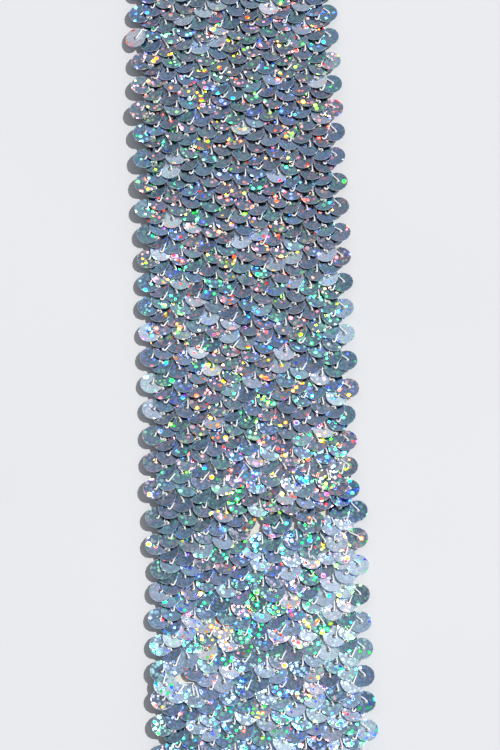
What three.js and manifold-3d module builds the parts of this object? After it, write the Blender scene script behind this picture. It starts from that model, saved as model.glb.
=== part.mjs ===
import * as THREE from "three";
import { mergeVertices } from "three/addons/utils/BufferGeometryUtils.js";
import Module from "manifold-3d";

// A cut length of stretch sequin trim, lying face up. Millimetres, +Z up.
// The trim runs along Y, and the free lower edge of each sequin points to -Y.
// Six zigzag chains of round sequins overlap like fish scales on a strip of elastic net.
// The sequins stand in columns: the odd ones hold the middle sequins of a chain, and the even
// ones between them hold the side sequins that two chains share.

// Sequins
const SEQUIN_DIAMETER = 6;
const SEQUIN_LEAN_DEG = 14;
const LEAN_SCATTER_DEG = 2.5;

// Chains: each repeat along one holds a left, a middle, a right and a second middle sequin
const CHAINS = 6;
const CHAIN_PITCH = 9.13;
const REPEAT = 7.1;
const REPEATS = 31;
const EDGE_SWING = 3.35;

// Backing net
const NET_WIDTH = 50;
const NET_END_MARGIN = 3;
const NET_THICKNESS = 1;
const NET_SECTIONS = 32;

// Spaces and thickness
const SLOT = 0.3;
const NET_TO_SEQUINS = 0.34;
const THINNEST_SCALE = 0.55;
const DEPTH_OF_CUT = 5;
const MERGE_WITHIN = 1e-4;

// Soft waves in which the strip lifts off the surface: middle and half-length along Y
const WAVES = [
  { middle: 64, reach: 42, height: 1.2 },
  { middle: -38, reach: 12, height: 0.35 },
  { middle: -89, reach: 19, height: 0.9 },
];

// Edge sequins that sit out of line: side -1 is the left edge, and repeats count from +Y
const OUT_OF_LINE = [
  { side: -1, repeat: 5, outward: 0.6 },
  { side: -1, repeat: 23, outward: -1.1 },
  { side: -1, repeat: 24, outward: -0.7 },
  { side: -1, repeat: 28, outward: 0.5 },
  { side: 1, repeat: 16, outward: -0.7 },
  { side: 1, repeat: 17, outward: -1 },
  { side: 1, repeat: 18, outward: -0.8 },
  { side: 1, repeat: 21, outward: 0.5 },
];
const EDGE_SCATTER = 0.15;

// Numbers that mix a column and a row into an uneven one
const SCATTER_TURN = 12.9898;
const SCATTER_ROW = 6.0227;
const SCATTER_SCALE = 43758.5453;

// Rim points of an edge sequin, in degrees round it: its free side, then over its lower neighbour
const FREE_RIM_DEG = [90, 50, 10, -30, -70];
const LAPPING_RIM_DEG = [-105, -135];

const RADIUS = SEQUIN_DIAMETER / 2;
const COLUMN_PITCH = CHAIN_PITCH / 2;
const STEP = REPEAT / 4;
const LAST_COLUMN = 2 * CHAINS;
const TOP_ROW = (REPEATS * REPEAT) / 2 - STEP;
const NET_LENGTH = REPEATS * REPEAT + 2 * NET_END_MARGIN;
const SCALE_UNDERSIDE = NET_THICKNESS + NET_TO_SEQUINS;

// The rims of two neighbours cross at a corner of each sequin's lower edge
const NEIGHBOUR_DISTANCE = Math.hypot(COLUMN_PITCH, STEP);
const HALF_CHORD = Math.sqrt(RADIUS ** 2 - (NEIGHBOUR_DISTANCE / 2) ** 2);
const CORNER_X = COLUMN_PITCH / 2 - (HALF_CHORD * STEP) / NEIGHBOUR_DISTANCE;
const CORNER_Y = -(STEP / 2 + (HALF_CHORD * COLUMN_PITCH) / NEIGHBOUR_DISTANCE);
// The rims of two sequins that follow each other in a column cross at their sides
const SIDE_X = Math.sqrt(RADIUS ** 2 - STEP ** 2);
// The slot between two chains zigzags, so its borders move sideways by a little more than half of it
const SLOT_SLOPE = Math.atan2(COLUMN_PITCH - 2 * CORNER_X, STEP);
const SLOT_SHIFT = SLOT / 2 / Math.cos(SLOT_SLOPE);

const wasm = await Module();
wasm.setup();

// Raised cosine waves on a flat surface.
function waveHeight(y) {
  let height = 0;
  for (const wave of WAVES) {
    const along = Math.abs(y - wave.middle) / wave.reach;
    if (along < 1) height += (wave.height * (1 + Math.cos(Math.PI * along))) / 2;
  }
  return height;
}

// Height of the net's underside at a place along it, straight within each of its sections.
function lift(y) {
  const section = NET_LENGTH / NET_SECTIONS;
  const before = Math.floor(y / section) * section;
  const share = (y - before) / section;
  return waveHeight(before) * (1 - share) + waveHeight(before + section) * share;
}

// An uneven number from -1 to 1, always the same for the same column and row: the digits far
// behind the point of a sine.
function scatter(column, row) {
  const value = SCATTER_SCALE * Math.sin(SCATTER_TURN * (column + SCATTER_ROW * row));
  return 2 * (value - Math.floor(value)) - 1;
}

function rimPoint(degrees) {
  const turn = THREE.MathUtils.degToRad(degrees);
  return [RADIUS * Math.cos(turn), RADIUS * Math.sin(turn)];
}

function columnX(column) {
  const outermost = (CHAINS - 1) * COLUMN_PITCH + EDGE_SWING;
  if (column === 0) return -outermost;
  if (column === LAST_COLUMN) return outermost;
  return (column - CHAINS) * COLUMN_PITCH;
}

// The centres of the sequins in one column, from +Y down. An edge column has half as many.
function sequinsInColumn(column) {
  const atEdge = column === 0 || column === LAST_COLUMN;
  const pitch = atEdge ? REPEAT : REPEAT / 2;
  let phase = column % 2 === 1 ? STEP : 0;
  if (column === LAST_COLUMN) phase = 2 * STEP;
  const sequins = [];
  const rows = Math.round((REPEATS * REPEAT) / pitch);
  for (let row = 0; row < rows; row++) {
    sequins.push({ column, row, x: columnX(column), y: TOP_ROW - phase - row * pitch });
  }
  return sequins;
}

// The right-hand border of a sequin's shown part, upwards, where its neighbour laps it.
function sharedBorder(shift) {
  return [
    [CORNER_X + shift, CORNER_Y],
    [COLUMN_PITCH - CORNER_X + shift, CORNER_Y + STEP],
    [CORNER_X + shift, CORNER_Y + 2 * STEP],
  ];
}

// The same border at the trim's edge. An edge sequin laps every second middle sequin.
function outerBorder(lapped) {
  const free = [[RADIUS, 0], [SIDE_X, STEP]];
  const lapping = LAPPING_RIM_DEG.map((degrees) => {
    const [x, y] = rimPoint(degrees);
    return [EDGE_SWING + x, STEP + y];
  });
  return [
    [CORNER_X, CORNER_Y],
    [SIDE_X, -STEP],
    ...(lapped ? lapping : free),
    [CORNER_X, CORNER_Y + 2 * STEP],
  ];
}

function mirrored(points) {
  return points.map(([x, y]) => [-x, y]);
}

// The part of a sequin that shows between the rims of the sequins above it.
function shownOutline(sequin) {
  const middle = sequin.column % 2 === 1;
  let right = sharedBorder(middle ? 0 : -SLOT_SHIFT);
  let left = sharedBorder(middle ? -SLOT_SHIFT : 0);
  if (sequin.column === LAST_COLUMN - 1) right = outerBorder(sequin.row % 2 === 1);
  if (sequin.column === 1) left = outerBorder(sequin.row % 2 === 0);
  return [...right, ...mirrored(left).reverse()];
}

// An edge sequin shows its round outer side, and closes on the rims of its chain's middle ones.
function edgeOutline(outward) {
  const free = FREE_RIM_DEG.map(rimPoint).map(([x, y]) => [x + outward, y]);
  const inner = [
    [CORNER_X - EDGE_SWING, CORNER_Y + STEP],
    [SIDE_X - EDGE_SWING, 0],
    [RADIUS - EDGE_SWING, STEP],
  ];
  return [...free, ...LAPPING_RIM_DEG.map(rimPoint), ...inner];
}

// How far an edge sequin stands out of line.
function outwardShift(side, row) {
  const change = OUT_OF_LINE.find((entry) => entry.side === side && entry.repeat === row + 1);
  return change ? change.outward : EDGE_SCATTER * scatter(side, row);
}

function solidFrom(geometry) {
  geometry.deleteAttribute("normal");
  geometry.deleteAttribute("uv");
  const merged = mergeVertices(geometry, MERGE_WITHIN);
  return new wasm.Manifold(new wasm.Mesh({
    numProp: 3,
    vertProperties: new Float32Array(merged.attributes.position.array),
    triVerts: new Uint32Array(merged.index.array),
  }));
}

function geometryFrom(solid) {
  const mesh = solid.getMesh();
  const geometry = new THREE.BufferGeometry();
  geometry.setAttribute("position", new THREE.BufferAttribute(mesh.vertProperties, 3));
  geometry.setIndex(new THREE.BufferAttribute(mesh.triVerts, 1));
  geometry.computeVertexNormals();
  return geometry;
}

// One sequin's scale: upright sides on its outline, and a top in the sequin's leaning plane.
// It reaches down to the surface, and the chain is cut off above the net afterwards.
function scaleSolid(sequin, outline) {
  const shape = new THREE.Shape(outline.map(([x, y]) => new THREE.Vector2(sequin.x + x, sequin.y + y)));
  const geometry = new THREE.ExtrudeGeometry(shape, { depth: 1, bevelEnabled: false });
  const lean = SEQUIN_LEAN_DEG + LEAN_SCATTER_DEG * scatter(sequin.column, sequin.row);
  const rise = Math.tan(THREE.MathUtils.degToRad(lean));
  const upperCorner = sequin.y + CORNER_Y + 2 * STEP;
  const points = geometry.attributes.position;
  for (let i = 0; i < points.count; i++) {
    const y = points.getY(i);
    const onTop = points.getZ(i) > 0.5;
    const thickness = Math.max(THINNEST_SCALE + rise * (upperCorner - y), THINNEST_SCALE / 2);
    points.setZ(i, onTop ? SCALE_UNDERSIDE + lift(y) + thickness : 0);
  }
  return solidFrom(geometry);
}

// One chain: its middle column, the column that it shares with the next chain, and at the trim's
// edges the edge column.
function sequinChain(number) {
  const middle = 2 * number - 1;
  const columns = number < CHAINS ? [middle, middle + 1] : [middle];
  const scales = [];
  for (const sequin of columns.flatMap(sequinsInColumn)) {
    scales.push(scaleSolid(sequin, shownOutline(sequin)));
  }
  if (number === 1) {
    for (const sequin of sequinsInColumn(0)) {
      scales.push(scaleSolid(sequin, mirrored(edgeOutline(outwardShift(-1, sequin.row)))));
    }
  }
  if (number === CHAINS) {
    for (const sequin of sequinsInColumn(LAST_COLUMN)) {
      scales.push(scaleSolid(sequin, edgeOutline(outwardShift(1, sequin.row))));
    }
  }
  const below = solidFrom(wavingStrip(2 * NET_WIDTH, -DEPTH_OF_CUT, SCALE_UNDERSIDE));
  return geometryFrom(wasm.Manifold.union(scales).subtract(below));
}

// A strip across the trim, flat in each of its sections, whose ends are raised to the waves.
function wavingStrip(width, bottom, top) {
  const geometry = new THREE.BoxGeometry(width, NET_LENGTH, top - bottom, 1, NET_SECTIONS, 1);
  const points = geometry.attributes.position;
  for (let i = 0; i < points.count; i++) {
    points.setZ(i, points.getZ(i) + (bottom + top) / 2 + lift(points.getY(i)));
  }
  return geometry;
}

function holographicFilm() {
  return new THREE.MeshStandardMaterial({ color: 0x8c9bad, metalness: 0.9, roughness: 0.22 });
}

function elasticNet() {
  return new THREE.MeshStandardMaterial({ color: 0xd9d6cc, metalness: 0, roughness: 0.85 });
}

function piece(name, geometry, material) {
  const mesh = new THREE.Mesh(geometry, material);
  mesh.name = name;
  return mesh;
}

const trim = new THREE.Group();
const netStrip = geometryFrom(solidFrom(wavingStrip(NET_WIDTH, 0, NET_THICKNESS)));
trim.add(piece("elastic_net_backing", netStrip, elasticNet()));
for (let number = 1; number <= CHAINS; number++) {
  trim.add(piece(`sequin_chain_${number}`, sequinChain(number), holographicFilm()));
}

export default trim;
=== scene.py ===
import math

import bpy
import numpy as np
from mathutils import Matrix, Vector


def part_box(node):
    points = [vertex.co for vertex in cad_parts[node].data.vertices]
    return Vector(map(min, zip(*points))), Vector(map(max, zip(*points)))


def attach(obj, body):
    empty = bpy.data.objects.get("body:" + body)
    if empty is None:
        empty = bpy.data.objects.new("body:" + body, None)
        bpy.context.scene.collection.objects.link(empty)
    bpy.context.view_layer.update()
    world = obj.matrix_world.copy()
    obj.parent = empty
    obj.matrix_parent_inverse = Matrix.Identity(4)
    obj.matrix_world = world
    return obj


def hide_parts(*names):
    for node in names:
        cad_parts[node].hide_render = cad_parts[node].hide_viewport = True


bl_info = {
    "name": "Sequin trim",
    "version": (1, 0, 0),
    "blender": (4, 5, 0),
    "location": "3D View > Sidebar > Sequin Trim",
    "description": "Sews a cut length of stretch sequin trim round its packed frame",
    "category": "Add Mesh",
}

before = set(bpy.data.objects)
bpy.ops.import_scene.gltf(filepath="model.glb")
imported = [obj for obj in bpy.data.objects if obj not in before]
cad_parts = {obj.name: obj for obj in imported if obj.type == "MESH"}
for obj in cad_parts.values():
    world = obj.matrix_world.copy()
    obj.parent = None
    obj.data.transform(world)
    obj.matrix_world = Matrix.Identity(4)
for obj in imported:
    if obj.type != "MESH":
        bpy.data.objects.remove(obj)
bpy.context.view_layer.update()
NET_LOW, NET_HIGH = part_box("elastic_net_backing")

# Layout, in metres. The number of chains and the length of a repeat follow the frame
CHAINS = sum(name.startswith("sequin_chain_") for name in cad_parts)
REPEATS = 31
END_MARGIN = 0.003
REPEAT = (NET_HIGH[1] - NET_LOW[1] - 2 * END_MARGIN) / REPEATS
STEP = REPEAT / 4  # along the trim, from a sequin of a chain to the next
CHAIN_PITCH = 0.00913
TOP_ROW = REPEATS * REPEAT / 2 - STEP
SEED = 26

# The four places in each repeat of a chain: how far across from its middle, and which way the
# sequin leans across (1 is towards +X)
PLACES = (
    {"name": "left", "across": -0.0037, "lean": 1},
    {"name": "middle", "across": -0.00065, "lean": -1},
    {"name": "right", "across": 0.0037, "lean": -1},
    {"name": "second middle", "across": 0.00026, "lean": 1},
)
EDGE_SWING = 0.00335  # across, of the outermost sequins at both edges

# Soft waves in which the strip lifts off the surface, by where they are along it
WAVES = (
    {"middle": 0.064, "reach": 0.042, "height": 0.0012},
    {"middle": -0.038, "reach": 0.012, "height": 0.00035},
    {"middle": -0.089, "reach": 0.019, "height": 0.0009},
)


class TrimSizes(bpy.types.PropertyGroup):
    sequin: bpy.props.FloatProperty(
        name="Sequin", description="Diameter of a sequin",
        default=0.006, min=0.003, max=0.012, unit="LENGTH")
    hole: bpy.props.FloatProperty(
        name="Hole", description="Diameter of the hole in a sequin",
        default=0.0011, min=0.0005, max=0.002, unit="LENGTH")
    film: bpy.props.FloatProperty(
        name="Film", description="Thickness of the sequin film",
        default=0.0001, min=0.00005, max=0.0003, unit="LENGTH")
    dish: bpy.props.FloatProperty(
        name="Dish", description="How far a sequin's rim stands above its hole",
        default=0.00011, min=0.0, max=0.0005, unit="LENGTH")
    lean: bpy.props.FloatProperty(
        name="Lean", description="How far a sequin leans along the trim",
        default=math.radians(15), min=0.0, max=math.radians(30), unit="ROTATION")
    thread: bpy.props.FloatProperty(
        name="Thread", description="Diameter of the sewing thread",
        default=0.00042, min=0.0001, max=0.0008, unit="LENGTH")
    net: bpy.props.FloatProperty(
        name="Net", description="Thickness of the elastic net",
        default=0.0005, min=0.0003, max=0.001, unit="LENGTH")


class TrimColours(bpy.types.PropertyGroup):
    film: bpy.props.FloatVectorProperty(
        name="Film", description="Colour of the metallised film between its glitter",
        default=(0.275, 0.395, 0.56), size=3, min=0.0, max=1.0, subtype="COLOR")
    thread: bpy.props.FloatVectorProperty(
        name="Thread", description="Colour of the sewing thread",
        default=(1.0, 0.99, 0.96), size=3, min=0.0, max=1.0, subtype="COLOR")
    net: bpy.props.FloatVectorProperty(
        name="Net", description="Colour of the elastic net",
        default=(0.66, 0.63, 0.57), size=3, min=0.0, max=1.0, subtype="COLOR")
    floor: bpy.props.FloatVectorProperty(
        name="Floor", description="Colour of the studio floor",
        default=(0.70, 0.705, 0.725), size=3, min=0.0, max=1.0, subtype="COLOR")


def wave_height(along):
    """Height of the net's underside: raised cosine waves on a flat surface."""
    height = np.zeros_like(along, dtype=float)
    for wave in WAVES:
        share = np.clip(np.abs(along - wave["middle"]) / wave["reach"], 0, 1)
        height += wave["height"] * (1 + np.cos(np.pi * share)) / 2
    return height


def unit(vectors):
    """Vectors drawn to length 1."""
    return vectors / np.linalg.norm(vectors, axis=-1, keepdims=True)


def mesh_object(name, points, faces, smooth=True):
    """A mesh object at the origin from an array of points and a list of arrays of faces. The faces
    of an array have the same number of corners."""
    corners = [face for block in faces for face in block.reshape(-1, block.shape[-1]).tolist()]
    mesh = bpy.data.meshes.new(name)
    mesh.from_pydata(points.reshape(-1, 3).tolist(), [], corners)
    mesh.polygons.foreach_set("use_smooth", np.full(len(mesh.polygons), smooth))
    mesh.update(calc_edges=True)
    obj = bpy.data.objects.new(name, mesh)
    bpy.context.scene.collection.objects.link(obj)
    return obj


def ring_faces(rings, sides, closed):
    """Quads between rings of points that follow each other, and on from the last to the first if
    the rings close on themselves."""
    spans = rings if closed else rings - 1
    ring, side = np.meshgrid(np.arange(spans), np.arange(sides), indexing="ij")
    after, beside = (ring + 1) % rings, (side + 1) % sides
    corners = (ring * sides + side, ring * sides + beside,
               after * sides + beside, after * sides + side)
    return np.stack(corners, axis=-1).reshape(-1, 4)


SEQUIN_SIDES = 16
LEAN_ACROSS = math.radians(4.2)
LEAN_SCATTER = math.radians(2.6)
PLACE_SCATTER = 0.0002
SEQUIN_HEIGHT = 0.00195  # of a sequin's middle over the surface, where the net lies flat

# How far the rows have slipped up the trim at its left and right edge, at places along it
DRIFT_AT = (-0.112, -0.101, -0.087, -0.067, -0.059, -0.051, -0.043, -0.034, -0.019, -0.011, 0.003,
            0.019, 0.029, 0.083, 0.110)
DRIFT_LEFT = (0.0, 0.0013, 0.0008, 0.0004, 0.0002, -0.0018, -0.0016, -0.0009, -0.0006, -0.0007,
              -0.0007, -0.0008, -0.0015, -0.0016, -0.0012)
DRIFT_RIGHT = (0.0, 0.0015, 0.0011, 0.0008, 0.0013, 0.0013, 0.0010, -0.0006, -0.0008, -0.0009, 0.0,
               0.0, 0.0002, 0.0, 0.0)

# The bend where the strip has been folded once: its sequins stand off the net above the line. The
# lift is for places from and to across the trim, with the share of it that they have there
BEND_AT = -0.0352
BEND_REACH = 0.0080
BEND_LIFT = 0.0012
BEND_ACROSS = (-0.004, 0.020)
BEND_SHARE = (0.25, 1.0)

# What each of a sequin's six even numbers from 0 to 1 is for. The number of its patch also turns
# its hook of thread, and that of its sparkle also turns its pattern and draws out its hook
FOR_PATTERN_ALONG, FOR_TONE, FOR_PATCH, FOR_HUE, FOR_SPARKLE, FOR_PATTERN_ACROSS = range(6)

# The glitter's painted glint hues on the film's colour scale, and the share of warm ones along the
# trim. The
# cool ones are spread by an even number to a power along the trim: over 1 there is more green,
# under 1 more blue
WARM_HUES = (0.60, 0.90)
COOL_HUES = (0.0, 0.53)
WARM_SHARE = ((-0.09, -0.055, -0.035, 0.0, 0.10), (0.10, 0.30, 0.60, 0.55, 0.60))
COOL_POWER = ((-0.09, -0.055, 0.0), (0.45, 1.1, 0.85))

# How much a sequin's glitter shows, that is how many of its points turn to the light and take
# the painted glint colour: by its even number, and along the trim
SPARKLE = ((0.20, 0.50, 1.0), (0.15, 0.80, 1.0))
SPARKLE_ALONG = ((-0.10, -0.06, 0.0, 0.05), (0.80, 0.90, 0.54, 0.36))

# A sequin's tone, from 0, dark, to 1, pale, is its even number to this power along the trim. The
# tone is painted reflection: it stands in for the bright and dark surroundings that leaning sequins
# reflect, and it gives more pale sequins towards the trim's -Y end
REFLECTION_POWER_ALONG = ((-0.07, -0.01, 0.10), (1.1, 2.6, 6.0))

# Areas where the sequins are painted paler or darker, a painted reflection of how the strip's soft
# turns tilt them, and where more or less of the glitter shows: middle and reach in millimetres
# (across, along), painted tone added, glitter factor
AREAS = (
    {"middle": (-22, -38), "reach": (14, 20), "tone": -0.55, "glitter": 0.15},
    {"middle": (8, -31), "reach": (16, 10), "tone": -0.1, "glitter": 1.9},
    {"middle": (-2, -70), "reach": (20, 12), "tone": 0.0, "glitter": 1.4},
    {"middle": (-12, -82), "reach": (14, 9), "tone": 0.25, "glitter": 1.0},
    {"middle": (26, -52), "reach": (9, 9), "tone": 0.35, "glitter": 0.7},
)

# Sequins that lie out of line or have a painted tone of their own: where they are (chain, order
# from the top), how far they have moved in millimetres (across, along, up), their lean in degrees
# (across, along) where it isn't the chain's, and their tone, from 0, dark, to 1, pale, a painted
# reflection of their surroundings
STRAY_SEQUINS = (
    {"at": (1, 8), "move": (-1.3, 0.0, 0.35), "lean": (-16, 9), "tone": 1.0},
    {"at": (1, 20), "move": (-0.6, 0.0, 0.0)},
    {"at": (1, 92), "move": (1.1, 0.0, 0.0)},
    {"at": (1, 96), "move": (0.7, 0.0, 0.0)},
    {"at": (1, 109), "move": (-1.6, -1.7, 0.35), "lean": (-2, 5), "tone": 1.0},
    {"at": (1, 110), "move": (1.0, -2.6, 0.0), "tone": 0.7},
    {"at": (1, 111), "move": (0.5, -0.2, 0.0), "tone": 0.8},
    {"at": (3, 86), "move": (-2.0, 0.6, 0.0), "tone": 0.1},
    {"at": (4, 84), "move": (0.2, 0.5, 0.3)},
    {"at": (3, 82), "move": (-0.4, 0.2, 0.0), "tone": 0.1},
    {"at": (4, 88), "move": (0.2, -2.1, 0.0), "tone": 0.0},
    {"at": (4, 86), "move": (-1.7, -1.0, 0.0), "tone": 0.2},
    {"at": (5, 84), "move": (-0.3, 0.5, 0.3)},
    {"at": (5, 88), "move": (0.2, -2.1, 0.0), "tone": 0.0},
    {"at": (5, 86), "move": (-1.9, -1.4, -0.1), "tone": 0.3},
    {"at": (5, 90), "move": (0.3, 0.0, 0.0), "tone": 0.3},
    {"at": (5, 92), "move": (-0.6, 0.2, 0.1), "tone": 0.85},
    {"at": (5, 93), "move": (1.4, 0.8, 0.3), "lean": (3, 12), "tone": 0.9},
    {"at": (6, 84), "move": (-0.7, 0.9, 0.1), "tone": 0.2},
    {"at": (6, 89), "move": (-1.0, -2.3, 0.45), "lean": (2, 13), "tone": 0.85},
    {"at": (6, 92), "move": (-0.6, 0.0, 0.2), "lean": (2, 12), "tone": 0.85},
    {"at": (6, 68), "move": (0.0, -0.2, 0.0)},
    {"at": (6, 70), "move": (-1.2, 0.0, 0.1), "tone": 0.2},
    {"at": (6, 74), "move": (-1.0, 0.0, 0.1), "tone": 0.3},
    {"at": (6, 78), "move": (-1.4, 0.0, 0.15), "lean": (-6, 20), "tone": 0.05},
    {"at": (6, 82), "move": (-1.3, 0.0, 0.2), "lean": (-7, 22), "tone": 0.1},
    {"at": (6, 86), "move": (0.6, 0.3, 0.0), "tone": 0.15},
    {"at": (6, 87), "move": (0.7, 0.2, 0.2), "lean": (6, 12), "tone": 0.95},
    {"at": (6, 88), "move": (0.9, 0.8, 0.45), "lean": (2, 14), "tone": 0.8},
    {"at": (6, 90), "move": (0.3, 0.0, 0.0), "tone": 0.2},
    {"at": (6, 91), "move": (0.0, -1.9, 0.2), "lean": (4, 13), "tone": 0.85},
    {"at": (5, 102), "move": (-1.3, -0.2, 0.45), "lean": (-2, 9), "tone": 0.0},
    {"at": (5, 103), "move": (-1.5, 0.0, 0.0), "tone": 1.0},
    {"at": (6, 95), "tone": 0.9},
    {"at": (6, 99), "tone": 0.95},
    {"at": (6, 103), "tone": 0.95},
    {"at": (6, 107), "tone": 0.9},
    {"at": (6, 111), "tone": 1.0},
)


def drift(across, along):
    """How far a sequin has slipped along the trim: between the slips of the two edges."""
    share = np.clip(0.5 + across / (NET_HIGH[0] - NET_LOW[0]), 0, 1)
    left = np.interp(along, DRIFT_AT, DRIFT_LEFT)
    right = np.interp(along, DRIFT_AT, DRIFT_RIGHT)
    return (1 - share) * left + share * right


def bend_lift(across, along):
    """How far the sequins stand up off the net just above the bend: a raised cosine along the
    trim that grows to the right."""
    off = np.clip(np.abs(along - BEND_AT) / BEND_REACH, 0, 1)
    return BEND_LIFT * (1 + np.cos(np.pi * off)) / 2 * np.interp(across, BEND_ACROSS, BEND_SHARE)


def painted_reflection_and_sparkle(across, along, uneven):
    """Each sequin's painted tone, a painted reflection that makes it paler or darker, and how much
    its
    glitter shows: by its even numbers and along the trim, then by the areas, which fade out as a
    bell round their middles."""
    tone = uneven[:, FOR_TONE] ** np.interp(along, *REFLECTION_POWER_ALONG)
    sparkle = np.interp(uneven[:, FOR_SPARKLE], *SPARKLE) * np.interp(along, *SPARKLE_ALONG)
    for area in AREAS:
        off = [(value * 1000 - at) / reach for value, at, reach in
               zip((across, along), area["middle"], area["reach"])]
        near = np.exp(-off[0]**2 - off[1]**2)
        tone = np.clip(tone + area["tone"] * near, 0, 1)
        sparkle = sparkle * (1 + (area["glitter"] - 1) * near)
    return tone, sparkle


def glitter_hue(along, uneven):
    """Each sequin's hue: an even number under the warm share gives a warm one, others cool ones."""
    number, warm = uneven[:, FOR_HUE], np.interp(along, *WARM_SHARE)
    cool = np.clip((number - warm) / (1 - warm), 0, 1) ** np.interp(along, *COOL_POWER)
    return np.where(number < warm, WARM_HUES[0] + np.ptp(WARM_HUES) * number / warm,
                    COOL_HUES[0] + np.ptp(COOL_HUES) * cool)


def sequin_places(number, sizes):
    """Where each sequin of a chain lies: its middle, its three axes and its uneven numbers.

    Sequin i stands i steps down the trim and swings across by its place in the repeat. Its
    plane leans up the trim, and across towards the sequin before it."""
    count = len(PLACES) * REPEATS
    order = np.arange(count)
    place = order % len(PLACES)
    rng = np.random.default_rng(SEED + number)
    uneven = rng.random((count, FOR_PATTERN_ACROSS + 1))
    spread = 2 * rng.random((count, 4)) - 1  # across, along, lean along, lean across
    swing = np.array([entry["across"] for entry in PLACES])[place]
    if number in (1, CHAINS):
        outermost = place == (0 if number == 1 else 2)
        swing = np.where(outermost, EDGE_SWING * np.sign(swing), swing)
    middle = (number - (CHAINS + 1) / 2) * CHAIN_PITCH
    across = middle + swing + PLACE_SCATTER * spread[:, 0]
    along = TOP_ROW - STEP * order
    along = along + drift(across, along) + PLACE_SCATTER * spread[:, 1]
    lean_along = sizes.lean + LEAN_SCATTER * spread[:, 2]
    towards = np.array([entry["lean"] for entry in PLACES])[place]
    lean_across = LEAN_ACROSS * towards + LEAN_SCATTER * spread[:, 3]
    height = SEQUIN_HEIGHT + wave_height(along) + bend_lift(across, along)
    tone, sparkle = painted_reflection_and_sparkle(across, along, uneven)
    for stray in STRAY_SEQUINS:
        chain, at = stray["at"]
        if chain != number:
            continue
        move = stray.get("move", (0.0, 0.0, 0.0))
        across[at] += move[0] / 1000
        along[at] += move[1] / 1000
        height[at] += move[2] / 1000
        if "lean" in stray:
            lean_across[at], lean_along[at] = np.radians(stray["lean"])
        tone[at] = stray.get("tone", tone[at])
    centre = np.stack([across, along, height], axis=-1)
    normal = unit(np.stack([np.tan(lean_across), np.tan(lean_along), np.ones(count)], axis=-1))
    first = unit(np.cross(np.array([0.0, 1.0, 0.0]), normal))
    second = np.cross(normal, first)
    return {"centre": centre, "axes": np.stack([first, second, normal], axis=1), "uneven": uneven,
            "tone": tone, "hue": glitter_hue(along, uneven), "sparkle": sparkle}


def sequin_mesh(name, places, sizes):
    """All sequins of a chain as one mesh.

    A sequin is a thin section, from its hole to its rim along the top and back along the
    underside, carried round a circle: (r cos t, r sin t, h)."""
    rim, hole = sizes.sequin / 2, sizes.hole / 2
    radius = np.array([hole, rim, rim, hole])
    height = np.array([0, sizes.dish, sizes.dish - sizes.film, -sizes.film])
    turn = 2 * np.pi * np.arange(SEQUIN_SIDES) / SEQUIN_SIDES
    local = np.stack([np.outer(np.cos(turn), radius), np.outer(np.sin(turn), radius),
                      np.tile(height, (SEQUIN_SIDES, 1))], axis=-1)
    count, section = len(places["centre"]), len(radius)
    points = places["centre"][:, None, None] + np.einsum("tsk,nkc->ntsc", local, places["axes"])
    one = ring_faces(SEQUIN_SIDES, section, True)
    faces = one[None] + (SEQUIN_SIDES * section * np.arange(count))[:, None, None]
    obj = mesh_object(name, points, [faces])
    mark_rims_sharp(obj.data, section)
    lay_film_pattern(obj.data, np.tile(local[..., :2].reshape(-1, 2), (count, 1)), places)
    return obj


def mark_rims_sharp(mesh, section):
    """The edges that run round a sequin are sharp, those across its film are smooth."""
    ends = np.empty(2 * len(mesh.edges), np.int32)
    mesh.edges.foreach_get("vertices", ends)
    round_edge = ends[0::2] % section == ends[1::2] % section
    sharp = mesh.attributes.new("sharp_edge", "BOOLEAN", "EDGE")
    sharp.data.foreach_set("value", round_edge)


PATTERN_SPREAD = 900.0  # how far apart in the film the sequins are punched, in millimetres


def lay_film_pattern(mesh, flat, places):
    """The film's own pattern: a map in millimetres, turned and moved for each sequin, and what the
    film needs to know of its sequin (its painted tone, a painted reflection, its patch and hue, its
    sparkle, how far from its middle)."""
    per_sequin = len(flat) // len(places["centre"])
    uneven = np.repeat(places["uneven"], per_sequin, axis=0)
    turn = 2 * np.pi * uneven[:, FOR_SPARKLE]
    cos, sin = np.cos(turn), np.sin(turn)
    across = 1000 * (cos * flat[:, 0] - sin * flat[:, 1])
    along = 1000 * (sin * flat[:, 0] + cos * flat[:, 1])
    film_mm = np.stack([across + PATTERN_SPREAD * uneven[:, FOR_PATTERN_ACROSS],
                        along + PATTERN_SPREAD * uneven[:, FOR_PATTERN_ALONG]], axis=-1)
    corner = np.empty(len(mesh.loops), np.int32)
    mesh.loops.foreach_get("vertex_index", corner)
    uv = mesh.uv_layers.new(name="film_mm")
    uv.data.foreach_set("uv", film_mm[corner].astype(np.float32).ravel())
    tones = np.stack([places["tone"], places["uneven"][:, FOR_PATCH], places["hue"]], axis=-1)
    for name, kind, key, values in (
            ("painted_reflection_patch_hue", "FLOAT_VECTOR", "vector", np.repeat(tones, per_sequin, axis=0)),
            ("sparkle", "FLOAT", "value", np.repeat(places["sparkle"], per_sequin)),
            ("reach", "FLOAT", "value", np.linalg.norm(flat, axis=-1))):
        attribute = mesh.attributes.new(name, kind, "POINT")
        attribute.data.foreach_set(key, values.astype(np.float32).ravel())


THREAD_SIDES = 6

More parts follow.
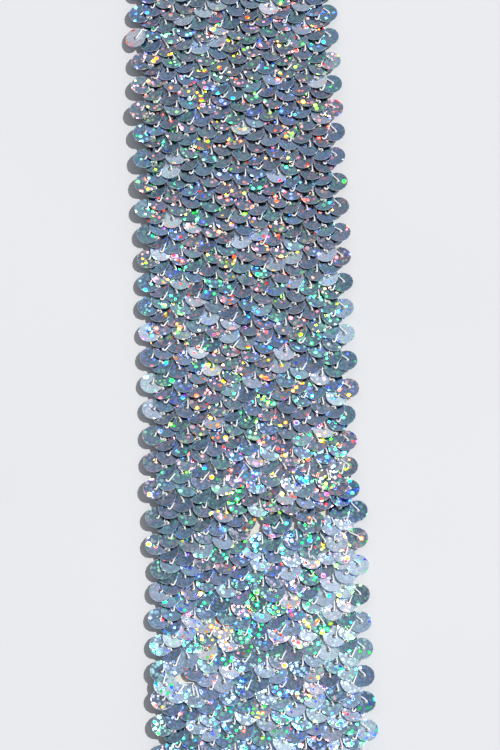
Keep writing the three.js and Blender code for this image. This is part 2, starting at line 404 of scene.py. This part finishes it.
# The thread's way over a sequin, by its place: up through the hole from the net, a curl beside
# it, up over the face and down past the rim. Millimetres across, along and up from the film
HOOKS = {
    "left": ((0.05, 0.0, -1.2), (0.05, -0.05, 0.1), (0.45, -0.30, 0.42), (0.50, 0.40, 0.50),
             (0.40, 1.3, 0.42), (0.36, 2.2, 0.30), (0.30, 3.1, 0.08)),
    "middle": ((0.0, 0.0, -1.2), (0.05, -0.05, 0.1), (0.55, -0.05, 0.40), (0.12, 0.52, 0.50),
               (-0.48, 0.15, 0.45), (-0.55, 1.5, 0.32), (-0.5, 3.1, 0.08)),
    "right": ((0.0, 0.0, -1.2), (0.05, -0.05, 0.1), (0.55, -0.38, 0.40), (0.36, 0.32, 0.50),
              (-0.04, 1.2, 0.45), (-0.42, 2.2, 0.30), (-0.75, 3.05, 0.08)),
    "second middle": ((0.0, 0.0, -1.2), (-0.38, 0.28, 0.35), (-0.30, -0.32, 0.50),
                      (0.32, -0.32, 0.50), (0.72, 0.5, 0.42), (1.3, 1.6, 0.30),
                      (1.95, 2.55, 0.08)),
}
HOOK_TURN = math.radians(24)  # over all, half of it to either side
HOOK_SPREAD = 0.35  # how unevenly the hooks are drawn out, as a share of their width
EDGE_HOOK_TURN = math.radians(26)  # of the outermost sequins' hooks, towards the trim's middle
EDGE_HOOK_FROM = 0.0245  # across from the trim's middle
THREAD_SLANT = (-0.5, -0.5, 0.7)  # a side of the thread's section: across, along, up from the film


def chain_thread_path(places):
    """The thread's way up a chain: each sequin's hook, turned and drawn out a little, laid on
    that sequin's plane."""
    hooks = np.array([HOOKS[entry["name"]] for entry in PLACES]) / 1000
    order = np.arange(len(places["centre"]))[::-1]
    hook = hooks[order % len(PLACES)]
    uneven, axes = places["uneven"][order], places["axes"][order]
    side = places["centre"][order, :1]
    turn = HOOK_TURN * (uneven[:, FOR_PATCH, None] - 0.5)
    turn = turn + EDGE_HOOK_TURN * np.sign(side) * (np.abs(side) > EDGE_HOOK_FROM)
    drawn = 1 + HOOK_SPREAD * (uneven[:, FOR_SPARKLE, None] - 0.5)
    across = drawn * (np.cos(turn) * hook[..., 0] - np.sin(turn) * hook[..., 1])
    along = np.sin(turn) * hook[..., 0] + np.cos(turn) * hook[..., 1]
    local = np.stack([across, along, hook[..., 2]], axis=-1)
    path = places["centre"][order, None] + np.einsum("npk,nkc->npc", local, axes)
    slanting = np.einsum("k,nkc->nc", np.array(THREAD_SLANT), axes)
    return path.reshape(-1, 3), np.repeat(slanting, hook.shape[1], axis=0)


def rounded(points, steps):
    """A smooth line through points: the Catmull-Rom blend of each four that follow each other."""
    padded = np.concatenate([2 * points[:1] - points[1:2], points, 2 * points[-1:] - points[-2:-1]])
    a, b, c, d = padded[:-3, None], padded[1:-2, None], padded[2:-1, None], padded[3:, None]
    t = (np.arange(steps) / steps)[None, :, None]
    line = 0.5 * (2 * b + (c - a) * t + (2 * a - 5 * b + 4 * c - d) * t**2
                  + (3 * b - 3 * c + d - a) * t**3)
    return np.concatenate([line.reshape(-1, points.shape[-1]), points[-1:]])


def closed_thread(name, lines, radius, flat=1.0):
    """Several threads as one mesh. Each is a section, (cos t, flat sin t), carried along its line,
    its end rings drawn together to a point so that it's closed."""
    all_points, all_faces, start = [], [], 0
    here = np.arange(THREAD_SIDES)
    beside = (here + 1) % THREAD_SIDES
    turn = (2 * np.pi * here / THREAD_SIDES)[None, :, None]
    for path, sideways in lines:
        tangent = unit(np.gradient(path, axis=0))
        side = unit(sideways - np.sum(sideways * tangent, axis=-1, keepdims=True) * tangent)
        up = np.cross(tangent, side)
        ring = np.cos(turn) * side[:, None] + flat * np.sin(turn) * up[:, None]
        points = (path[:, None] + radius * ring).reshape(-1, 3)
        count = len(points)
        last = count - THREAD_SIDES
        caps = np.concatenate([
            np.stack([beside, here, np.full(THREAD_SIDES, count)], axis=-1),
            np.stack([last + here, last + beside, np.full(THREAD_SIDES, count + 1)], axis=-1),
        ])
        all_points += [points, path[[0, -1]]]
        all_faces += [ring_faces(len(path), THREAD_SIDES, False) + start, caps + start]
        start += count + 2
    return mesh_object(name, np.concatenate(all_points), all_faces)


NET_COLUMNS = 160
NET_ROWS = 290
NET_UNDERSIDE = 0.00028  # over the surface, so that the stitching has its place under the net
WALE = 0.0012
COURSE = 0.0015
COURSE_SHARE = 0.4  # of the knit's relief
KNIT_RELIEF = 0.00007


def net_mesh(name, sizes):
    """The elastic net: a thin closed sheet on the waves.

    Its two faces are a grid of u across and v along, raised by the knit's wales and courses:
    |sin(u)| times a soft |cos(v)|, and they meet along its border."""
    across = np.linspace(NET_LOW[0], NET_HIGH[0], NET_COLUMNS)
    along = np.linspace(NET_LOW[1], NET_HIGH[1], NET_ROWS)
    u, v = np.meshgrid(across, along, indexing="xy")
    courses = 1 - COURSE_SHARE + COURSE_SHARE * np.abs(np.cos(np.pi * v / COURSE))
    knit = np.abs(np.sin(np.pi * u / WALE)) * courses
    middle = NET_UNDERSIDE + sizes.net / 2 + wave_height(v)
    half = sizes.net / 2 - KNIT_RELIEF * (1 - knit)
    top = np.stack([u, v, middle + half], axis=-1)
    bottom = np.stack([u, v, middle - half], axis=-1)
    count = NET_COLUMNS * NET_ROWS
    row, column = np.meshgrid(np.arange(NET_ROWS - 1), np.arange(NET_COLUMNS - 1), indexing="ij")
    corner = (row * NET_COLUMNS + column).reshape(-1)
    face = np.stack([corner, corner + 1, corner + NET_COLUMNS + 1, corner + NET_COLUMNS], axis=-1)
    border = np.concatenate([
        np.arange(NET_COLUMNS - 1),
        np.arange(NET_ROWS - 1) * NET_COLUMNS + NET_COLUMNS - 1,
        count - 1 - np.arange(NET_COLUMNS - 1),
        (NET_ROWS - 1 - np.arange(NET_ROWS - 1)) * NET_COLUMNS,
    ])
    after = np.roll(border, -1)
    wall = np.stack([border, border + count, after + count, after], axis=-1)[:, ::-1]
    return mesh_object(name, np.stack([top, bottom]), [face, face[:, ::-1] + count, wall])


class Finish:
    """A material in the making. A node's inputs, by name or by number, are each given a socket, to
    be wired from, or a value, to be set to."""

    def __init__(self, name):
        self.material = bpy.data.materials.new(name)
        self.material.use_nodes = True
        self.tree = self.material.node_tree
        self.shader = self.tree.nodes["Principled BSDF"]

    def give(self, node, inputs):
        for key, source in inputs.items():
            if isinstance(source, bpy.types.NodeSocket):
                self.tree.links.new(source, node.inputs[key])
            else:
                node.inputs[key].default_value = source

    def add(self, kind, inputs=None, **settings):
        node = self.tree.nodes.new(kind)
        for key, value in settings.items():
            setattr(node, key, value)
        self.give(node, inputs or {})
        return node

    def place(self):
        """Where on the piece a point is, in metres."""
        return self.add("ShaderNodeTexCoord").outputs["Object"]

    def attribute(self, name, output):
        return self.add("ShaderNodeAttribute", attribute_name=name).outputs[output]

    def number(self, operation, *sources, **settings):
        """A sum on numbers."""
        inputs = dict(enumerate(sources))
        return self.add("ShaderNodeMath", inputs, operation=operation, **settings).outputs[0]

    def vector(self, operation, *sources):
        """A sum on vectors."""
        inputs = dict(enumerate(sources))
        return self.add("ShaderNodeVectorMath", inputs, operation=operation).outputs[0]

    def scaled(self, vector, scale):
        inputs = {0: vector, "Scale": scale}
        return self.add("ShaderNodeVectorMath", inputs, operation="SCALE").outputs[0]

    def span(self, source, start, end, low=0.0, high=1.0):
        """From low to high as the source goes from start to end, and no further."""
        inputs = dict(enumerate((source, start, end, low, high)))
        return self.add("ShaderNodeMapRange", inputs).outputs[0]

    def blend(self, share, first, second):
        """From the first colour to the second by a share."""
        inputs = {0: share}
        for key, colour in ((6, first), (7, second)):
            inputs[key] = colour if isinstance(colour, bpy.types.NodeSocket) else (*colour, 1.0)
        return self.add("ShaderNodeMix", inputs, data_type="RGBA").outputs[2]

    def cells(self, place, spacing):
        """Cells round points scattered in a plane: how far a place is from its cell's point, in
        spacings, and the cell's own three even numbers."""
        inputs = {"Vector": place, "Scale": 1 / spacing}
        node = self.add("ShaderNodeTexVoronoi", inputs, voronoi_dimensions="2D", feature="F1")
        return node.outputs["Distance"], node.outputs["Color"]

    def noise(self, place, scale, **settings):
        inputs = {"Vector": place, "Scale": scale}
        return self.add("ShaderNodeTexNoise", inputs, **settings).outputs[0]

    def bump(self, height, strength, depth):
        inputs = {"Strength": strength, "Distance": depth, "Height": height}
        return self.add("ShaderNodeBump", inputs).outputs[0]

    def shade(self, inputs):
        """The material, once its shader has been given its inputs."""
        self.give(self.shader, inputs)
        return self.material


# The small points of the film's glitter. How large they are is in shares of their spacing
GLITTER_SIZE = 1.12  # millimetres between the points
POINT_REACH = (0.35, 0.66)  # of the smallest and the largest points
POINT_RARE = 3.0  # the power that makes the larger ones rare
POINT_EDGE = (-0.04, 0.09)  # from a point's outline inwards, where it fades in
CORE_INSIDE = (0.22, 0.50)  # from a point's outline inwards, where its colour turns whiter, a painted highlight
# How much white is painted into a point's core, a painted highlight
CORE_HIGHLIGHT = 0.3
GLITTER_SHARE = 0.36  # of the points on a sparkling sequin are turned so that they're seen
PASTEL_SHARE = 1.3  # the same, for points that are seen or half seen
SEEN_STEP = (0.95, 1.05)  # a point is seen where its sequin's sparkle times the share, with an
# even number of its own added to it, is past this
GLITTER_FAINT = 0.12  # how far the other points show
PASTEL_ALONG = (-0.06, 0.05, 0.28, 0.52)  # from and to along the trim, how far the half seen show
PASTEL_PURE = 0.72  # the share of its own colour that a half seen point has
GLITTER_TURN = 0.27  # of all points across the trim, as a lean of the film's normal
GLITTER_TURN_ALONG = (0.0, 0.10, -0.30, -0.42)  # from and to along the trim, and the turn there
GLITTER_TILT = (0.50, 0.12)  # how far the small and the large points tilt out of that turn
TILT_UNTIL = 0.6  # points that are larger than this share tilt like the largest

# The large points, the few of them that face the light
FLARE_SIZE = 3.4  # millimetres between all of them
FLARE_LIT = (0.895, 0.905)  # those with an even number past this are seen
FLARE_REACH = (0.13, 0.27)  # from a point's middle outwards, where it fades out

# The points' colours, a painted glint colour: the scale that their hues are places on, and the
# whites mixed into them
GLITTER_HUES = (
    (0.00, (0.00, 1.0, 0.01)), (0.20, (0.00, 0.92, 0.28)), (0.34, (0.005, 0.16, 1.0)),
    (0.53, (0.06, 0.06, 1.0)), (0.56, (1.0, 0.01, 0.015)), (0.72, (1.0, 0.06, 0.0)),
    (0.84, (1.0, 0.45, 0.0)), (0.92, (0.4, 0.9, 0.0)), (1.00, (0.00, 1.0, 0.01)),
)
HUE_STRAY = 0.20  # how far a point's hue is from its sequin's, either way
# The white of the painted highlight in a point's core, and the pale colour that a half seen point
# is blended towards
HIGHLIGHT_WHITE = (0.80, 0.92, 1.0)
SPOT_FAINT = (0.50, 0.64, 0.76)
GLINT_COLOUR_POWER = 0.85  # how soon a point's painted glint colour takes the place of the film's

# The film between the points
PAINTED_REFLECTION_RANGE = (0.75, 1.25)  # the painted lightness of a dark and of a pale sequin, a painted reflection
REFLECTION_PALE_FROM = 0.5  # the tone from which a sequin is painted paler and made partly matt, a painted reflection
GRAIN_SIZE = 0.3  # millimetres across the fine mottle's cells
GRAIN_SHADE = (0.80, 1.20)
GRAIN_TILT = 0.07
CLOUD_SCALE = 0.45  # of the soft patches of teal and lavender, to a millimetre
CLOUD_STEP = (0.38, 0.62)
CLOUD_SHARE = (0.05, 0.55)  # how far the patches colour the least and the most coloured sequin
PATCH_TEAL = (0.24, 0.52, 0.60)
PATCH_LAVENDER = (0.42, 0.46, 0.78)
# Painted reflection: the colour that a pale sequin's film is blended towards, and how far it is
# made matt
PAINTED_REFLECTION_COLOUR = (0.58, 0.68, 0.81)
PALE_MATT = 0.5
# Painted highlight on each sequin's cut edge: its pale colour, where it reaches and how strongly,
# standing in for the light that the edge catches; the rim is also made partly matt
RIM_HIGHLIGHT_COLOUR = (0.76, 0.81, 0.88)
RIM_REACH = (0.00286, 0.00298)  # metres from a sequin's middle, where the painted highlight on its cut edge fades in
RIM_HIGHLIGHT = 0.62
MATT_METAL = 0.3  # how metallic the matt parts are
FILM_ROUGH = 0.20
POINT_ROUGH = 0.34
FLARE_ROUGH = 0.43
MIDDLE = (0.5, 0.5, 0.5)  # of three even numbers


def glitter_points(finish, uv, along):
    """The glitter: round points, one to a cell, the larger ones rare. A point is seen, half seen
    or faint by an even number of its own and its sequin's sparkle. Few large points are seen, but
    these wholly."""
    away, colour = finish.cells(uv, GLITTER_SIZE)
    numbers = finish.add("ShaderNodeSeparateColor", {0: colour}).outputs
    large = finish.number("POWER", numbers[2], POINT_RARE)
    inside = finish.number("SUBTRACT", finish.span(large, 0.0, 1.0, *POINT_REACH), away)
    spot = finish.span(inside, *POINT_EDGE)
    even = finish.add("ShaderNodeTexWhiteNoise", {"Vector": colour}, noise_dimensions="3D")
    even = even.outputs["Value"]
    sparkle = finish.attribute("sparkle", "Fac")
    full = finish.span(finish.number("MULTIPLY_ADD", sparkle, GLITTER_SHARE, even), *SEEN_STEP)
    over = finish.number("MULTIPLY_ADD", sparkle, PASTEL_SHARE, even)
    half = finish.span(over, *SEEN_STEP, GLITTER_FAINT, finish.span(along, *PASTEL_ALONG))
    seen = finish.number("MULTIPLY", spot, finish.number("MAXIMUM", full, half))
    away, flare_colour = finish.cells(uv, FLARE_SIZE)
    flare_number = finish.add("ShaderNodeSeparateColor", {0: flare_colour}).outputs[0]
    flare_disc = finish.span(away, *FLARE_REACH, 1.0, 0.0)
    flare = finish.number("MULTIPLY", finish.span(flare_number, *FLARE_LIT), flare_disc)
    return {
        "colour": colour, "hue": numbers[1], "large": large, "spot": spot, "flare": flare,
        "highlight_core": finish.span(inside, *CORE_INSIDE, 0.0, CORE_HIGHLIGHT),
        "seen": finish.number("MAXIMUM", seen, flare),
        "full": finish.number("MAXIMUM", full, flare),
    }


def painted_glint_colour(finish, points, sequin_hue):
    """A point's painted glint colour: its sequin's hue, moved a little by an even number of its
    own.
    It's paler where the point is half seen, and whiter in its core, a painted highlight."""
    stray = finish.span(points["hue"], 0.0, 1.0, -HUE_STRAY, HUE_STRAY)
    hue = finish.number("FRACT", finish.number("ADD", stray, sequin_hue))
    ramp = finish.add("ShaderNodeValToRGB", {0: hue})
    elements = ramp.color_ramp.elements
    while len(elements) < len(GLITTER_HUES):
        elements.new(0.5)
    for element, (place, colour) in zip(elements, GLITTER_HUES):
        element.position = place
        element.color = (*colour, 1.0)
    pure = finish.span(points["full"], 0.0, 1.0, PASTEL_PURE, 1.0)
    coloured = finish.blend(pure, SPOT_FAINT, ramp.outputs[0])
    return finish.blend(points["highlight_core"], coloured, HIGHLIGHT_WHITE)


def film_colour(finish, film, uv, grain, tones, painted_pale):
    """The film between the points: its own colour, with soft patches of two tints, blended on a
    pale sequin to a paler colour, and shaded by the sequin's tone and the fine mottle. The paler
    colour and the tone's shading are painted reflection."""
    mottle = finish.add("ShaderNodeSeparateColor", {0: grain}).outputs[0]
    lightness = finish.number("MULTIPLY", finish.span(tones[0], 0.0, 1.0, *PAINTED_REFLECTION_RANGE),
                              finish.span(mottle, 0.0, 1.0, *GRAIN_SHADE))
    cloud = finish.noise(uv, CLOUD_SCALE, noise_dimensions="2D")
    patches = finish.blend(finish.span(cloud, *CLOUD_STEP), PATCH_TEAL, PATCH_LAVENDER)
    tinted = finish.blend(finish.span(tones[1], 0.0, 1.0, *CLOUD_SHARE), film, patches)
    return finish.scaled(finish.blend(painted_pale, tinted, PAINTED_REFLECTION_COLOUR), lightness)


def film_normal(finish, points, grain, along):
    """The film's normal: tilted a little by the fine mottle, and on a point turned to where the
    light's reflection is seen, then tilted by the point's own even numbers."""
    normal = finish.add("ShaderNodeNewGeometry").outputs["Normal"]
    tilt = finish.span(points["large"], 0.0, TILT_UNTIL, *GLITTER_TILT)
    tilt = finish.span(points["flare"], 0.0, 1.0, tilt, 0.0)
    own = finish.scaled(finish.vector("SUBTRACT", points["colour"], MIDDLE), tilt)
    turn_along = finish.span(along, *GLITTER_TURN_ALONG)
    turn = finish.add("ShaderNodeCombineXYZ", {0: GLITTER_TURN, 1: turn_along}).outputs[0]
    point_part = finish.scaled(finish.vector("ADD", own, turn), points["seen"])
    grain_part = finish.scaled(finish.vector("SUBTRACT", grain, MIDDLE), GRAIN_TILT)
    both = finish.vector("ADD", point_part, grain_part)
    return finish.vector("NORMALIZE", finish.vector("ADD", normal, both))


def holographic_film(colours):
    """Metallised film with a glitter of small round gratings. Each grating has its own tilt and a
    painted glint colour, which shows mostly on the few that are turned to catch the light. The film
    between them has a fine mottle. A pale sequin's film is painted paler and made partly matt, a
    painted reflection, and the cut edge of each has a painted highlight."""
    finish = Finish("holographic_film")
    uv = finish.add("ShaderNodeUVMap", uv_map="film_mm").outputs["UV"]
    along = finish.add("ShaderNodeSeparateXYZ", {0: finish.place()}).outputs[1]
    tone = finish.attribute("painted_reflection_patch_hue", "Vector")
    tones = finish.add("ShaderNodeSeparateXYZ", {0: tone}).outputs
    # Painted reflection: how far the sequin's painted tone makes its film paler and partly matt
    painted_pale = finish.span(tones[0], REFLECTION_PALE_FROM, 1.0)
    grain = finish.cells(uv, GRAIN_SIZE)[1]
    points = glitter_points(finish, uv, along)
    film = film_colour(finish, colours.film, uv, grain, tones, painted_pale)
    # Painted glint colour: a point that is turned to the light takes its hue in place of the film's
    glint_colour_share = finish.number("POWER", points["seen"], GLINT_COLOUR_POWER, use_clamp=True)
    base = finish.blend(glint_colour_share, film, painted_glint_colour(finish, points, tones[2]))
    # Painted highlight along each sequin's cut edge
    rim = finish.span(finish.attribute("reach", "Fac"), *RIM_REACH, 0.0, RIM_HIGHLIGHT)
    matt = finish.number("MAXIMUM", finish.number("MULTIPLY", painted_pale, PALE_MATT), rim)
    rough = finish.span(points["spot"], 0.0, 1.0, FILM_ROUGH, POINT_ROUGH)
    return finish.shade({
        "Base Color": finish.blend(rim, base, RIM_HIGHLIGHT_COLOUR),
        "Metallic": finish.span(matt, 0.0, 1.0, 1.0, MATT_METAL),
        "Normal": film_normal(finish, points, grain, along),
        "Roughness": finish.span(points["flare"], 0.0, 1.0, rough, FLARE_ROUGH),
    })


NOISE_MIDDLE = (0.3, 0.7)  # where a noise's numbers lie, all but a few

THREAD_GRAIN = 5200.0
THREAD_SHADE = (0.84, 1.0)
THREAD_BUMP = (0.5, 0.00004)  # strength, and depth in metres
THREAD_GLOSS = {"Roughness": 0.38, "Sheen Weight": 0.3}

NET_COURSE_SHARE = 0.45
NET_OPENING_SHADE = (0.15, 0.9, 0.45, 1.0)  # from and to over the knit, and the lightness there: painted shade in the knit's openings
NET_FUZZ = 3500.0
NET_FUZZ_SHADE = (0.9, 1.08)
NET_BUMP = (0.6, 0.0001)
NET_GLOSS = {"Roughness": 0.85, "Sheen Weight": 0.25}


def sewing_thread(colours):
    """Shiny spun polyester, with a fine uneven grain."""
    finish = Finish("sewing_thread")
    grain = finish.noise(finish.place(), THREAD_GRAIN)
    shade = finish.span(grain, *NOISE_MIDDLE, *THREAD_SHADE)
    return finish.shade({"Base Color": finish.scaled(colours.thread, shade),
                         "Normal": finish.bump(grain, *THREAD_BUMP), **THREAD_GLOSS})


def elastic_net(colours):
    """Matt knitted net: pale wales, |sin| across, and courses, sin along, with painted shade
    darkening the openings between them, and a little fuzz."""
    finish = Finish("elastic_net")
    place = finish.place()
    across, along = finish.add("ShaderNodeSeparateXYZ", {0: place}).outputs[:2]
    wale = finish.number("SINE", finish.number("MULTIPLY", across, math.pi / WALE))
    course = finish.number("SINE", finish.number("MULTIPLY", along, 2 * math.pi / COURSE))
    knit = finish.number("ADD", finish.number("ABSOLUTE", wale),
                         finish.span(course, -1.0, 1.0, 0.0, NET_COURSE_SHARE))
    fuzz = finish.span(finish.noise(place, NET_FUZZ), *NOISE_MIDDLE, *NET_FUZZ_SHADE)
    shade = finish.number("MULTIPLY", finish.span(knit, *NET_OPENING_SHADE), fuzz)
    return finish.shade({"Base Color": finish.scaled(colours.net, shade),
                         "Normal": finish.bump(shade, *NET_BUMP), **NET_GLOSS})


def finish_of(name, make):
    """The named material, made when a piece first asks for it."""
    return bpy.data.materials.get(name) or make(bpy.context.scene.trim_colours)


class TRIM_OT_elastic_net(bpy.types.Operator):
    """Make the elastic net that the sequins are sewn to"""

    bl_idname = "trim.elastic_net"
    bl_label = "Elastic net"

    def execute(self, context):
        sizes = context.scene.trim_sizes
        net = net_mesh("net_backing", sizes)
        net.data.materials.append(finish_of("elastic_net", elastic_net))
        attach(net, "root")
        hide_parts("elastic_net_backing")
        return {"FINISHED"}


class TRIM_OT_sequin_chains(bpy.types.Operator):
    """Make the zigzag chains of overlapping sequins, one piece for each chain"""

    bl_idname = "trim.sequin_chains"
    bl_label = "Sequin chains"

    def execute(self, context):
        sizes = context.scene.trim_sizes
        for number in range(1, CHAINS + 1):
            places = sequin_places(number, sizes)
            sequins = sequin_mesh(f"sequins_{number}", places, sizes)
            sequins.data.materials.append(finish_of("holographic_film", holographic_film))
            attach(sequins, "root")
            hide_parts(f"sequin_chain_{number}")
        return {"FINISHED"}


PATH_STEPS = 2  # points to each span of a thread's way
STITCH_HEIGHT = 0.00014  # over the surface
STITCH_FLAT = 0.6  # the stitching under the net is pressed flat


class TRIM_OT_sewing_thread(bpy.types.Operator):
    """Make the thread of each chain, and its zigzag stitching under the net"""

    bl_idname = "trim.sewing_thread"
    bl_label = "Sewing thread"

    def execute(self, context):
        sizes = context.scene.trim_sizes
        under = []
        for number in range(1, CHAINS + 1):
            places = sequin_places(number, sizes)
            path, sideways = chain_thread_path(places)
            line = (rounded(path, PATH_STEPS), rounded(sideways, PATH_STEPS))
            thread = closed_thread(f"thread_{number}", [line], sizes.thread / 2)
            thread.data.materials.append(finish_of("sewing_thread", sewing_thread))
            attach(thread, "root")
            stitch = places["centre"].copy()
            stitch[:, 2] = STITCH_HEIGHT + wave_height(stitch[:, 1])
            forward = unit(np.gradient(stitch, axis=0))
            under.append((stitch, np.cross(np.array([0.0, 0.0, 1.0]), forward)))
        stitches = closed_thread("underside_stitching", under, sizes.thread / 2, flat=STITCH_FLAT)
        stitches.data.materials.append(finish_of("sewing_thread", sewing_thread))
        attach(stitches, "root")
        return {"FINISHED"}


# The camera: where it looks, how far off it stands, and how it leans over the trim
LOOKS_AT = (0.00025, -0.0049, 0.002)
CAMERA_DISTANCE = 0.519
CAMERA_TILT = math.radians(12.5)
CAMERA_ROLL = math.radians(2.4)
LENS_MM = 92.9
SENSOR_MM = 36.0
FLOOR_SIZE = 2.4

# The light: a sun-like key from the upper right, soft boxes (place, size, power) and the air, with
# how far towards its bright side a direction leans where it's darkest and where it's brightest
KEY_FROM = (0.62, 0.16, 0.98)
KEY_COLOUR = (1.0, 0.99, 0.97)
KEY_STRENGTH = 3.0
KEY_SPREAD = math.radians(1.6)
SOFT_BOXES = (
    ((0.10, 1.70, 1.45), 1.0, 0.8),
    ((-0.90, 0.60, 1.80), 0.6, 0.5),
)
BRIGHT_SIDE = (0.55, 0.15, 0.81)
AIR_DARK = (0.0, (0.28, 0.29, 0.31, 1.0))
AIR_BRIGHT = (0.90, (0.57, 0.60, 0.63, 1.0))
AIR_STRENGTH = 0.74

FLOOR_CLOUD = 9.0
FLOOR_SHADE = (0.985, 1.01)
FLOOR_ROUGH = 0.7


def studio_floor(colours):
    """A plain pale floor with very slight, soft unevenness."""
    finish = Finish("studio_floor")
    cloud = finish.noise(finish.place(), FLOOR_CLOUD)
    shade = finish.span(cloud, *NOISE_MIDDLE, *FLOOR_SHADE)
    return finish.shade({"Base Color": finish.scaled(colours.floor, shade),
                         "Roughness": FLOOR_ROUGH})


def studio_air():
    """Soft light from all round, brighter on the side that it comes from: the brightness follows
    how far a direction leans towards that side."""
    world = bpy.data.worlds.new("studio_air")
    world.use_nodes = True
    tree = world.node_tree
    towards = tree.nodes.new("ShaderNodeTexCoord").outputs["Generated"]
    lean = tree.nodes.new("ShaderNodeVectorMath")
    lean.operation = "DOT_PRODUCT"
    tree.links.new(towards, lean.inputs[0])
    lean.inputs[1].default_value = Vector(BRIGHT_SIDE).normalized()
    ramp = tree.nodes.new("ShaderNodeValToRGB")
    tree.links.new(lean.outputs["Value"], ramp.inputs[0])
    elements = ramp.color_ramp.elements
    elements[0].position, elements[0].color = AIR_DARK
    elements[1].position, elements[1].color = AIR_BRIGHT
    air = tree.nodes["Background"]
    tree.links.new(ramp.outputs[0], air.inputs["Color"])
    air.inputs["Strength"].default_value = AIR_STRENGTH
    return world


def soft_box(name, place, size, power):
    """A square soft light at a place, turned to the middle of the trim."""
    light = bpy.data.lights.new(name, "AREA")
    light.size, light.energy = size, power
    obj = bpy.data.objects.new(name, light)
    obj.location = place
    obj.rotation_euler = (-Vector(place)).to_track_quat("-Z", "Y").to_euler()
    bpy.context.scene.collection.objects.link(obj)


class TRIM_OT_studio(bpy.types.Operator):
    """Make the plain floor, the soft lights and the camera over the trim"""

    bl_idname = "trim.studio"
    bl_label = "Studio"

    def execute(self, context):
        scene = context.scene
        half = FLOOR_SIZE / 2
        corners = np.array([[-half, -half, 0], [half, -half, 0], [half, half, 0], [-half, half, 0]])
        floor = mesh_object("studio_floor", corners, [np.array([[0, 1, 2, 3]])], smooth=False)
        floor.data.materials.append(studio_floor(scene.trim_colours))

        scene.world = studio_air()
        sun = bpy.data.lights.new("key_light", "SUN")
        sun.energy, sun.angle, sun.color = KEY_STRENGTH, KEY_SPREAD, KEY_COLOUR
        key = bpy.data.objects.new("key_light", sun)
        key.rotation_euler = Vector(KEY_FROM).to_track_quat("Z", "Y").to_euler()
        scene.collection.objects.link(key)
        for number, (place, size, power) in enumerate(SOFT_BOXES, 1):
            soft_box(f"soft_box_{number}", place, size, power)

        lens = bpy.data.cameras.new("camera")
        lens.lens, lens.sensor_width, lens.sensor_fit = LENS_MM, SENSOR_MM, "AUTO"
        camera = bpy.data.objects.new("camera", lens)
        back = Vector((0.0, -math.sin(CAMERA_TILT), math.cos(CAMERA_TILT)))
        up = Vector((math.sin(CAMERA_ROLL), math.cos(CAMERA_ROLL), 0.0))
        right = up.cross(back).normalized()
        up = back.cross(right)
        turn = Matrix((right, up, back)).transposed()
        place = Vector(LOOKS_AT) + CAMERA_DISTANCE * back
        camera.matrix_world = Matrix.LocRotScale(place, turn, None)
        scene.collection.objects.link(camera)
        scene.camera = camera
        scene.view_settings.view_transform = "Standard"
        return {"FINISHED"}


class TRIM_PT_sidebar(bpy.types.Panel):
    """The trim's sizes, colours and pieces"""

    bl_label = "Sequin trim"
    bl_space_type = "VIEW_3D"
    bl_region_type = "UI"
    bl_category = "Sequin Trim"

    def draw(self, context):
        layout = self.layout
        for group in (context.scene.trim_sizes, context.scene.trim_colours):
            for name in group.__annotations__:
                layout.prop(group, name)
        for operator in OPERATORS:
            layout.operator(operator.bl_idname)


OPERATORS = (TRIM_OT_elastic_net, TRIM_OT_sequin_chains, TRIM_OT_sewing_thread, TRIM_OT_studio)
CLASSES = (TrimSizes, TrimColours, *OPERATORS, TRIM_PT_sidebar)


def register():
    for entry in CLASSES:
        bpy.utils.register_class(entry)
    bpy.types.Scene.trim_sizes = bpy.props.PointerProperty(type=TrimSizes)
    bpy.types.Scene.trim_colours = bpy.props.PointerProperty(type=TrimColours)


def unregister():
    del bpy.types.Scene.trim_colours
    del bpy.types.Scene.trim_sizes
    for entry in reversed(CLASSES):
        bpy.utils.unregister_class(entry)


def main():
    register()
    bpy.ops.trim.elastic_net()
    bpy.ops.trim.sequin_chains()
    bpy.ops.trim.sewing_thread()
    bpy.ops.trim.studio()


if __name__ == "__main__":
    main()
